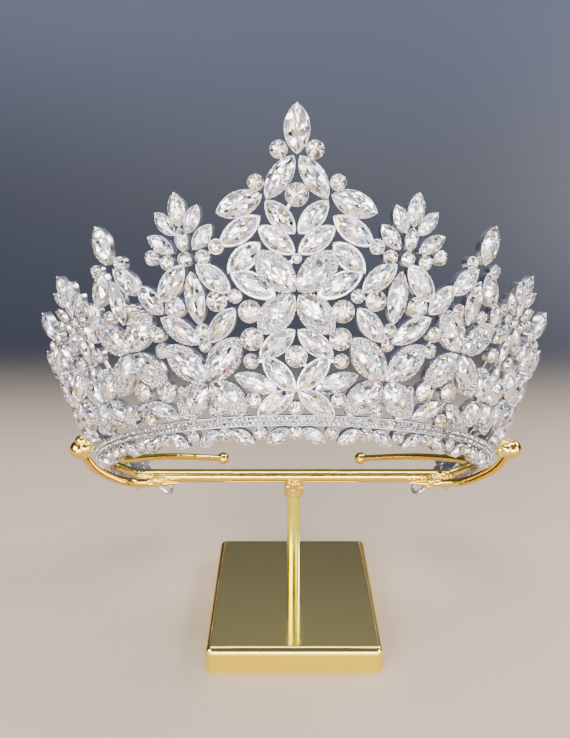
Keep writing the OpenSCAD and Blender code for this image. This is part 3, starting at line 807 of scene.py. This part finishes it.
def claw_rows(seat):
    angles = [45, 135, 225, 315] if seat.round else [0, 62, 118, 180, 242, 298]
    rows = []
    for angle in np.radians(angles):
        x, y = seat.edge(angle, CLAW_SHARE)
        ahead, behind = seat.edge(angle + 0.05, CLAW_SHARE), seat.edge(angle - 0.05, CLAW_SHARE)
        tip = not seat.round and abs(math.sin(angle)) < 0.01
        inward = (-x, 0) if tip else (behind[1] - ahead[1], ahead[0] - behind[0])
        size = (1.25, 0.85, 1.0) if tip else (0.95, 0.62, 0.9)
        step = 0.22 / math.hypot(*inward)
        place = seat.at(CLAW_LIFT, x + inward[0] * step, y + inward[1] * step)
        k = min(1.0, 0.45 + seat.width / 12)
        rows.append((place, seat.turned(*inward), tuple(a * k * MM for a in size), True))
    return rows


claws = grow(
    set_stones, "claws", points("claws", [row for seat in plain_seats for row in claw_rows(seat)]),
    Round=claw_shape, Pointed=claw_shape, Seed=1, Material=rhodium, Round_Material=rhodium)
dress(claws, "silver_plate")
print("faces on the claws:", len(claws.data.polygons))

# %% [markdown]
# ## Pave
# Pave is a close row of tiny stones. It runs round each petal and along the whole band. A second
# tree walks along a line, takes a step of the stones' pitch each time, and stands a tiny brilliant
# on the surface there.

# %% The tree that lays pave
def pave_tree(name):
    tree, given, out = tree_with(
        name, ("Shape", "Object"), ("Pitch", "Float"), ("Size", "Vector"), ("Seed", "Int"),
        ("Material", "Material"))
    line = add(tree, "GeometryNodeMeshToCurve", {"Mesh": given.outputs["Geometry"]})
    paced = add(tree, "GeometryNodeResampleCurve", {
        "Curve": line.outputs["Curve"], "Length": given.outputs["Pitch"]}, mode="LENGTH")
    out_of_wall = add(tree, "GeometryNodeInputNamedAttribute", {"Name": "out"}, data_type="FLOAT_VECTOR")
    stood = add(tree, "FunctionNodeAlignRotationToVector", {
        "Vector": out_of_wall.outputs["Attribute"]}, axis="Z")
    shape = add(tree, "GeometryNodeObjectInfo", {"Object": given.outputs["Shape"], "As Instance": True})
    placed = add(tree, "GeometryNodeInstanceOnPoints", {
        "Points": paced.outputs["Curve"], "Instance": shape.outputs["Geometry"],
        "Rotation": stood.outputs["Rotation"], "Scale": given.outputs["Size"]})
    numbered = number_each(tree, placed.outputs["Instances"], "stone", given.outputs["Seed"], "INSTANCE")
    real = add(tree, "GeometryNodeRealizeInstances", {"Geometry": numbered})
    faceted = number_each(tree, real.outputs["Geometry"], "facet", given.outputs["Seed"], "FACE")
    dressed = add(tree, "GeometryNodeSetMaterial", {
        "Geometry": faceted, "Material": given.outputs["Material"]})
    tree.links.new(dressed.outputs["Geometry"], out.inputs["Geometry"])
    return tree


lay_pave = pave_tree("lay_pave")


def small_stone(name, corners=7):
    """A tiny brilliant: a table, a ring of facets down to its edge, and its foot."""
    mesh = bmesh.new()
    chart = mesh.loops.layers.uv.new("cut")
    rings = []
    for share, z, half in ((0.5, 1, 0.5), (1, 0.25, 0), (0.8, -0.6, 0)):
        turns = [math.tau * (i + half) / corners for i in range(corners)]
        rings.append([mesh.verts.new((share * math.cos(a) / 2, share * math.sin(a) / 2, z)) for a in turns])
    top, edge, foot = rings
    faces = [top, foot[::-1]]
    for i in range(corners):
        j = (i + 1) % corners
        faces += [(top[i], edge[j], top[j]), (top[i], edge[i], edge[j]), (edge[i], foot[i], foot[j], edge[j])]
    for corners_of_face in faces:
        face = mesh.faces.new(corners_of_face)
        for loop in face.loops:
            loop[chart].uv = (0.5 + loop.vert.co.x, 0.5 + loop.vert.co.y)
    return shape_from(mesh, name)


pave_shape = small_stone("pave_shape")


def lines(name, groups, closed):
    """Lines of points as one mesh: each point is a place and the direction out of the wall."""
    places, outs, edges = [], [], []
    for group in groups:
        start, count = len(places), len(group)
        places += [place for place, _ in group]
        outs += [out for _, out in group]
        edges += [(start + i, start + (i + 1) % count) for i in range(count if closed else count - 1)]
    mesh = bpy.data.meshes.new(name)
    mesh.from_pydata(places, edges, [])
    layer = mesh.attributes.new("out", "FLOAT_VECTOR", "POINT")
    layer.data.foreach_set("vector", np.array(outs, np.float32).ravel())
    return mesh


# %% [markdown]
# On a petal the stone sits against the flower's heart, so the pave has most room at the petal's
# tip. As many rows as fit lie between the petal's edge and the stone, and share the room evenly.

# %% Pave round the petals
PAVE_LIFT = 1.42


def halo_rows(seat, size):
    angles = np.radians(np.linspace(-172, 172, 87))
    rim = np.array([seat.edge(a) for a in angles])
    stone = np.array([seat.edge(a, seat.share) for a in angles]) + [seat.slid, 0]
    count = np.floor(np.linalg.norm(stone - rim, axis=1) / (0.9 * size))
    made = []
    for row in range(int(count.max())):
        fits = count > row
        if fits.sum() > 3:
            share = (row + 0.5) / count[fits]
            places = rim[fits] + (stone - rim)[fits] * share[:, None]
            made.append([(seat.at(PAVE_LIFT, x, y), tuple(seat.z)) for x, y in places])
    return made


GLINTS = [
    (0.0, "#241E1F"), (0.18, "#746E72"), (0.32, "#C4BFC2"), (0.5, "#F8F6F8"), (0.84, "#EBDDC4"),
    (0.93, "#D9B878"), (0.955, "#FFFFFF"),
]
crystal_pave = crystal(
    "pave_crystal", GLINTS, wedges=4, rings=0.6, tilt=0.9, by_facet=0.0, seat_shadow=0.9)
for label, narrowest, widest, size in (
    ("wide_petal_pave", 9.9, 99, 1.05), ("middle_petal_pave", 7.9, 9.9, 0.86),
    ("narrow_petal_pave", 0, 7.9, 0.66),
):
    rows = [row for seat in petal_seats if narrowest < seat.width <= widest for row in halo_rows(seat, size)]
    piece = grow(
        lay_pave, label, lines(label, rows, False),
        Shape=pave_shape, Pitch=1.04 * size * MM, Size=(1.03 * size * MM, 1.03 * size * MM, 0.5 * MM),
        Seed=3, Material=crystal_pave)
    dress(piece, "crystal")
    print(label, len(piece.data.polygons), "faces")

# %% Pave along the band
STRIP_MIDDLE, STRIP_H, STRIP_T = 0.5, 3.6, 1.8


def band_line(v, lift, reach=BAND_REACH - 0.8, step=2.0):
    count = int(2 * reach / step)
    made = []
    for i in range(count + 1):
        s = -reach + 2 * reach * i / count
        off = leaned(wall_axes(s)[3]) - leaned((0, 0, 0))
        made.append((leaned(on_wall(s, v, lift)) * MM, tuple(off)))
    return made


rows = [band_line(STRIP_MIDDLE + side * 0.82, STRIP_T / 2 + 0.05) for side in (1, -1)]
band_pave = grow(
    lay_pave, "band_pave", lines("band_pave", rows, False),
    Shape=pave_shape, Pitch=1.56 * MM, Size=(1.5 * MM, 1.5 * MM, 0.8 * MM), Seed=4, Material=crystal_pave)
dress(band_pave, "crystal")
print("faces in the band's pave:", len(band_pave.data.polygons))


def piece_from(mesh, name, material):
    """A piece in the scene from a finished form, with its faces turned outwards."""
    bmesh.ops.recalc_face_normals(mesh, faces=mesh.faces)
    piece = shape_from(mesh, name)
    piece.data.materials.append(material)
    bpy.context.scene.collection.objects.link(piece)
    return piece


def ribbon(name, sections, material):
    """A closed strip from one ring of corners after another."""
    mesh = bmesh.new()
    skin(mesh, [[mesh.verts.new(corner) for corner in section] for section in sections])
    return piece_from(mesh, name, material)


BED_HALF = 1.62
corners = [(-BED_HALF, -0.1), (BED_HALF, -0.1), (BED_HALF, 0.06), (-BED_HALF, 0.06)]
edges = [[place for place, _ in band_line(STRIP_MIDDLE + v, STRIP_T / 2 + lift)] for v, lift in corners]
bed = ribbon("band_pave_bed", list(zip(*edges)), shaded_beaded)
dress(bed, "silver_plate")

# %% [markdown]
# ## Wires
# Round wires edge the band and make the stand's cradle. A third tree sweeps a round section along
# smooth lines through a few points, each with its own radius.

# %% The tree that draws wires
def wire_tree(name):
    tree, given, out = tree_with(name, ("Sides", "Int"), ("Material", "Material"))
    line = add(tree, "GeometryNodeMeshToCurve", {"Mesh": given.outputs["Geometry"]})
    soft = add(tree, "GeometryNodeCurveSplineType", {
        "Curve": line.outputs["Curve"]}, spline_type="CATMULL_ROM")
    fine = add(tree, "GeometryNodeSetSplineResolution", {"Geometry": soft.outputs["Curve"], "Resolution": 10})
    thick = add(tree, "GeometryNodeInputNamedAttribute", {"Name": "thick"}, data_type="FLOAT")
    section = add(tree, "GeometryNodeCurvePrimitiveCircle", {
        "Resolution": given.outputs["Sides"], "Radius": 1.0})
    swept = add(tree, "GeometryNodeCurveToMesh", {
        "Curve": fine.outputs["Geometry"], "Profile Curve": section.outputs["Curve"],
        "Scale": thick.outputs["Attribute"], "Fill Caps": True})
    smooth = add(tree, "GeometryNodeSetShadeSmooth", {"Geometry": swept.outputs["Mesh"]})
    real = add(tree, "GeometryNodeRealizeInstances", {"Geometry": smooth.outputs["Geometry"]})
    dressed = add(tree, "GeometryNodeSetMaterial", {
        "Geometry": real.outputs["Geometry"], "Material": given.outputs["Material"]})
    tree.links.new(dressed.outputs["Geometry"], out.inputs["Geometry"])
    return tree


draw_wires = wire_tree("draw_wires")


def wires(name, groups):
    """Lines of points in millimetres, each with the wire's radius there."""
    places, radii, edges = [], [], []
    for group in groups:
        start = len(places)
        places += [tuple(np.array(place) * MM) for place, _ in group]
        radii += [radius * MM for _, radius in group]
        edges += [(start + i, start + i + 1) for i in range(len(group) - 1)]
    mesh = bpy.data.meshes.new(name)
    mesh.from_pydata(places, edges, [])
    mesh.attributes.new("thick", "FLOAT", "POINT").data.foreach_set("value", radii)
    return mesh


def edge_wire(v):
    return [(place / MM, 0.24) for place, _ in band_line(v, STRIP_T / 2 + 0.1, step=6.0)]


band_edges = grow(
    draw_wires, "band_edge_wires",
    wires("band_edge_wires", [edge_wire(STRIP_MIDDLE + side * (STRIP_H / 2 - 0.1)) for side in (1, -1)]),
    Sides=8, Material=rhodium)
dress(band_edges, "silver_plate")

# %% [markdown]
# ## Gold plate
# The stand is brass and steel, polished and plated with yellow gold. The cradle is deep yellow and
# mirror-bright, with soft unevenness where it was bent and soldered by hand. The post is drawn
# tube, and its waves are long and run along it. Its gold is painted paler and more lemon than the
# cradle's: painted light, for the strong light on it. Plate over solder is paler
# and duller, because light is caught between the lumps and would turn it red.

# %% Polished gold
def gold_plate(name, dark, light, clear, dull, wave, stretch=(1, 1, 1)):
    """Mirror-bright plate whose tone and gloss drift, with soft waves of a strength."""
    material, tree, shader = finish(name)
    shader.inputs["Metallic"].default_value = 1.0
    clouds = pattern(tree, 9.0)
    tone = add(tree, "ShaderNodeMixRGB", {
        "Fac": clouds.outputs["Fac"], "Color1": linear(dark), "Color2": linear(light)})
    shade = add(tree, "ShaderNodeMapRange", {"Value": clouds.outputs["Fac"], "To Min": clear, "To Max": dull})
    waves = pattern(tree, 5.0, stretch=stretch)
    bump = add(tree, "ShaderNodeBump", {
        "Height": waves.outputs["Fac"], "Strength": wave, "Distance": 0.5 * MM})
    coat(tree, shader, tone, shade, bump)
    return material


polished_gold = gold_plate("polished_gold_plate", "#F0C044", "#F8D262", 0.06, 0.16, 0.4)
# Painted light: the post's gold is paler and more lemon than the cradle's, for the strong light on it.
lit_lemon_gold = gold_plate("drawn_gold_plate_painted_light", "#F4EA40", "#FAF45E", 0.18, 0.3, 0.3, (1, 1, 0.1))
solder_gold = gold_plate("plated_solder", "#F6D660", "#FAE27A", 0.1, 0.2, 0.3)

# %% [markdown]
# ## Cradle
# A straight cross bar rides on the post in a socket. At each end two bent rods are soldered to it:
# one sweeps forward and up to a ball, under the crown's fringe, and one sweeps back and in, and
# the crown's band rests on them.

# %% Rods of the cradle
BAR_Z, BAR_R, BAR_HALF, ARM_R, BALL_R = 74.5, 2.9, 68.0, 1.8, 3.5
JOINT = np.array([60.5, 0, BAR_Z - BAR_R * 0.8])


def seat_on(s, v, lift=0.0):
    return leaned(on_wall(s, v, lift))


under = seat_on(92, -7.6 * HUNDREDTH - ARM_R - 0.3) + np.array([1.7, -3.7, -1.1])
front_ball = np.array([79.0, -37.0, BAR_Z + 34])
knee = JOINT + [10.7, -9.5, 5.2]
neck = (under + front_ball) / 2 + np.array([1.0, -0.5, -1.0])
inside = seat_on(136, 0, -STRIP_T / 2 - ARM_R - 0.3)
rear_ball = np.array([39.5, 79.0, BAR_Z - 37])
rear_neck = (inside + rear_ball) / 2 + np.array([6, 4, 0])


def mirrored(points_of_line, side):
    return [(np.array(place) * np.array([side, 1, 1]), radius) for place, radius in points_of_line]


front_rod = [
    (JOINT + [-10.4, -4.0, 1.2], 0.4), (JOINT + [-6.5, -4.2, 1.3], 1.1), (JOINT + [-2, -4.4, 1.4], 1.6),
    (JOINT + [3.5, -4.9, 1.8], ARM_R), (knee, ARM_R), (under, ARM_R), (neck, ARM_R), (front_ball, ARM_R),
]
rear_rod = [
    (JOINT + [-13, -0.5, 3.6], 0.5), (JOINT + [-7, -0.3, 2.6], 1.5), (JOINT + [0, 0.6, 0.6], ARM_R),
    (inside, ARM_R), (rear_neck, ARM_R), (rear_ball, ARM_R),
]
bar = [((-BAR_HALF, 0, BAR_Z), BAR_R * 0.55), ((-BAR_HALF + 0.9, 0, BAR_Z), BAR_R * 0.93),
       ((-BAR_HALF + 2.2, 0, BAR_Z), BAR_R)]
bar = bar + [((x, 0, BAR_Z), BAR_R) for x in (-40, -20, 0, 20, 40)] + mirrored(bar, -1)[::-1]
cradle_rods = grow(
    draw_wires, "cradle_rods",
    wires("cradle_rods", [bar] + [mirrored(rod, side) for side in (1, -1) for rod in (front_rod, rear_rod)]),
    Sides=20, Material=polished_gold)
dress(cradle_rods, "gold_plate", "stand_cradle")
print("cradle spans", round(2 * front_ball[0] + 2 * BALL_R), "mm over its front balls")

# %% [markdown]
# The balls and the socket are turned parts. A lathe makes them from a profile, and so does a ring
# of points turned round an axis here.

# %% Balls and socket
def turned_part(mesh, middle, profile, sides=32):
    """Adds a part turned about an upright axis: each ring is a radius and a height, in mm."""
    rings = []
    for radius, z in profile:
        rings.append([
            mesh.verts.new((
                (middle[0] + radius * math.cos(math.tau * i / sides)) * MM,
                (middle[1] + radius * math.sin(math.tau * i / sides)) * MM, (middle[2] + z) * MM))
            for i in range(sides)])
    skin(mesh, rings, smooth=True)


mesh = bmesh.new()
arc = [(BALL_R * math.sin(math.radians(a)), -BALL_R * math.cos(math.radians(a))) for a in range(4, 180, 8)]
for ball in (front_ball, rear_ball):
    for side in (1, -1):
        turned_part(mesh, ball * np.array([side, 1, 1]), arc)
balls = dress(piece_from(mesh, "cradle_balls", polished_gold), "gold_plate")

SOCKET_R, SOCKET_DEPTH, POST_R = 4.4, 6.0, 3.0
foot = BAR_Z - BAR_R - SOCKET_DEPTH
mesh = bmesh.new()
turned_part(mesh, (0, 0, foot), [
    (POST_R + 0.12, 0.0), (SOCKET_R - 0.35, 0.0), (SOCKET_R - 0.1, 0.12), (SOCKET_R, 0.4), (SOCKET_R, 1.2),
    (SOCKET_R - 0.12, 1.5), (SOCKET_R - 0.12, 5.2), (SOCKET_R + 0.1, 6.6), (SOCKET_R - 0.1, 7.6), (3.2, 8.2)])
socket = dress(piece_from(mesh, "cradle_socket", polished_gold), "gold_plate")

# %% [markdown]
# Solder is melted metal that froze in lumps. Loose drops are scattered round each joint, a Remesh
# modifier melts them into one skin, and a Smooth modifier rounds it.

# %% Solder
rng = np.random.default_rng(7)


def solder(name, places):
    """Drops of solder, each a place and a radius in mm, melted into one skin."""
    mesh = bmesh.new()
    for place, radius in places:
        drop = bmesh.ops.create_icosphere(mesh, subdivisions=2, radius=radius * MM)
        bmesh.ops.translate(mesh, verts=drop["verts"], vec=Vector(np.array(place) * MM))
    piece = piece_from(mesh, name, solder_gold)
    melt = piece.modifiers.new("melt", "REMESH")
    melt.mode, melt.voxel_size, melt.use_smooth_shade = "VOXEL", 0.22 * MM, True
    soften = piece.modifiers.new("soften", "SMOOTH")
    soften.factor, soften.iterations = 0.6, 12
    depsgraph = bpy.context.evaluated_depsgraph_get()
    made = bpy.data.meshes.new_from_object(piece.evaluated_get(depsgraph), depsgraph=depsgraph)
    piece.modifiers.clear()
    piece.data = made
    return dress(piece, "gold_plate")


drops = []
for side in (1, -1):
    for middle, spread, count, radii in (
        ([-1.2, -4.2, 2.4], [0.8, 0.6, 1.1], 12, (1.4, 2.0)),
        ([4.0, -2.2, 3.4], [1.9, 0.7, 0.8], 11, (1.1, 1.7)),
        ([-6.0, -2.4, 2.6], [2.0, 0.3, 0.4], 7, (0.7, 1.0)),
    ):
        for _ in range(count):
            place = (JOINT + middle + rng.normal(0, 1, 3) * spread) * np.array([side, 1, 1])
            drops.append((place, rng.uniform(*radii)))
COLLAR_R = 3.9
for _ in range(18):
    a = rng.uniform(0, math.tau)
    place = (COLLAR_R * math.cos(a), COLLAR_R * math.sin(a), BAR_Z - BAR_R + rng.normal(0.4, 0.6))
    drops.append((place, rng.uniform(0.6, 1.05)))
for side in (1, -1):
    for _ in range(7):
        ball = front_ball * np.array([side, 1, 1])
        place = ball + rng.normal(0, 1, 3) * [1.0, 0.9, 1.3] + [-1.9 * side, 0, 0.5]
        drops.append((place, rng.uniform(1.8, 2.7)))
for _ in range(16):
    place = (rng.normal(0, 1.7), -BAR_R + rng.normal(-0.5, 0.4), BAR_Z + rng.normal(-2.6, 1.8))
    drops.append((place, rng.uniform(0.5, 0.9)))
lumps = solder("cradle_solder", drops)
print("faces in the solder:", len(lumps.data.polygons))

# %% [markdown]
# ## Post and base
# The base is steel, ground on its sides, so fine upright lines stay there, and polished to a
# mirror on top before it is plated. The finish tells the two apart by which way the surface looks.
# Where it faces up, the plate is also painted a paler, duller gold than on the sides: painted reflection.

# %% Base and post
base_gold, tree, shader = finish("brushed_and_polished_gold_plate")
shader.inputs["Metallic"].default_value = 1.0
facing = add(tree, "ShaderNodeNewGeometry")
parts = add(tree, "ShaderNodeSeparateXYZ", {0: facing.outputs["Normal"]})
upward = add(tree, "ShaderNodeMapRange", {"Value": parts.outputs["Z"], "From Min": 0.25, "From Max": 0.7})
lines_across = pattern(tree, 1.0, detail=3.0, stretch=(7, 7, 0.12))
clouds = pattern(tree, 14.0)
brushed = add(tree, "ShaderNodeMapRange", {
    "Value": lines_across.outputs["Fac"], "To Min": 0.34, "To Max": 0.5})
mirror = add(tree, "ShaderNodeMapRange", {"Value": clouds.outputs["Fac"], "To Min": 0.05, "To Max": 0.12})
shade = add(tree, "ShaderNodeMix", {
    "Factor": upward.outputs["Result"], "A": brushed.outputs["Result"], "B": mirror.outputs["Result"]})
tone = add(tree, "ShaderNodeMixRGB", {
    "Fac": clouds.outputs["Fac"], "Color1": linear("#FBD82E"), "Color2": linear("#FEE448")})
# Painted reflection: where the surface faces up, the gold is paler and duller than on the sides.
tone = add(tree, "ShaderNodeMixRGB", {
    "Fac": upward.outputs["Result"], "Color1": tone.outputs["Color"], "Color2": linear("#E2CE84")})
strength = add(tree, "ShaderNodeMapRange", {"Value": upward.outputs["Result"], "To Min": 0.35, "To Max": 0.0})
bump = add(tree, "ShaderNodeBump", {
    "Height": lines_across.outputs["Fac"], "Strength": strength.outputs["Result"], "Distance": 0.05 * MM})
coat(tree, shader, tone, shade, bump)
recoat("stand_base", base_gold)
recoat("stand_post", lit_lemon_gold)

# %% [markdown]
# ## Floor and light
# The part stands on a plain pale floor under soft studio lights. Cut crystal needs contrast to
# sparkle, so the lights are large and bright with darker gaps between them. Behind the part the
# floor is painted almost black where it turns up into a backdrop, and the backdrop is dark slate
# blue, lighter higher up: painted shade.

# %% Floor
FLOOR_END, SWEEP_R = 0.28, 0.4
sweep = [(-8.0, 0.0), (FLOOR_END, 0.0)]
bends = np.radians(range(6, 91, 6))
sweep += [(FLOOR_END + SWEEP_R * math.sin(a), SWEEP_R - SWEEP_R * math.cos(a)) for a in bends]
sweep += [(FLOOR_END + SWEEP_R, 3.5)]
places = [(x, y, z) for y, z in sweep for x in (-12, 12)]
floor = bpy.data.objects.new("floor", bpy.data.meshes.new("floor"))
floor.data.from_pydata(places, [], [(2 * i, 2 * i + 1, 2 * i + 3, 2 * i + 2) for i in range(len(sweep) - 1)])
floor.data.shade_smooth()
bpy.context.scene.collection.objects.link(floor)
paper, tree, shader = finish("matt_paper_painted_shade")
grain = pattern(tree, 3.0)
pale = add(tree, "ShaderNodeMixRGB", {
    "Fac": grain.outputs["Fac"], "Color1": linear("#AE9C8A"), "Color2": linear("#B4A290")})
place = add(tree, "ShaderNodeTexCoord")
parts = add(tree, "ShaderNodeSeparateXYZ", {0: place.outputs["Object"]})
tone = pale
# Painted shade: the floor goes almost black behind the part, and the backdrop is dark slate blue, lighter
# higher up.
for axis, low, high, code in (
    ("Y", 0.1, 0.36, "#20242F"), ("Z", 0.1, 0.4, "#282E44"), ("Z", 0.4, 0.9, "#545864"),
):
    fade = add(tree, "ShaderNodeMapRange", {
        "Value": parts.outputs[axis], "From Min": low, "From Max": high}, interpolation_type="SMOOTHSTEP")
    tone = add(tree, "ShaderNodeMixRGB", {
        "Fac": fade.outputs["Result"], "Color1": tone.outputs["Color"], "Color2": linear(code)})
tree.links.new(tone.outputs["Color"], shader.inputs["Base Color"])
shader.inputs["Roughness"].default_value = 0.6
floor.data.materials.append(paper)

# %% Lights
world = bpy.data.worlds.new("studio")
bpy.context.scene.world = world
world.use_nodes = True
world.node_tree.nodes["Background"].inputs["Color"].default_value = linear("#AEB4BE")
world.node_tree.nodes["Background"].inputs["Strength"].default_value = 0.5


def softbox(name, place, target, width, height, watts, colour="#FFFFFF"):
    lamp = bpy.data.lights.new(name, "AREA")
    lamp.shape, lamp.size, lamp.size_y = "RECTANGLE", width, height
    lamp.energy, lamp.color = watts, linear(colour)[:3]
    made = bpy.data.objects.new(name, lamp)
    made.location = place
    made.rotation_euler = (Vector(target) - Vector(place)).to_track_quat("-Z", "Y").to_euler()
    bpy.context.scene.collection.objects.link(made)
    return made


middle = (0, 0, 0.12)
softbox("key_light", (-0.85, -0.85, 0.75), middle, 1.0, 0.8, 30)
softbox("fill_light", (0.95, -0.7, 0.5), middle, 0.7, 0.8, 15)
softbox("front_light", (0.05, -1.3, 0.3), middle, 1.2, 0.5, 24)
softbox("top_light", (0.0, 0.1, 1.2), middle, 0.9, 0.4, 10)
softbox("back_light", (0.9, 0.4, 0.8), middle, 0.6, 0.3, 12)

# %% Finish
for shape in (round_cut, marquise_cut, round_cup, pointed_cup, petal_cup, petal_rim, claw_shape, pave_shape):
    bpy.data.objects.remove(shape)
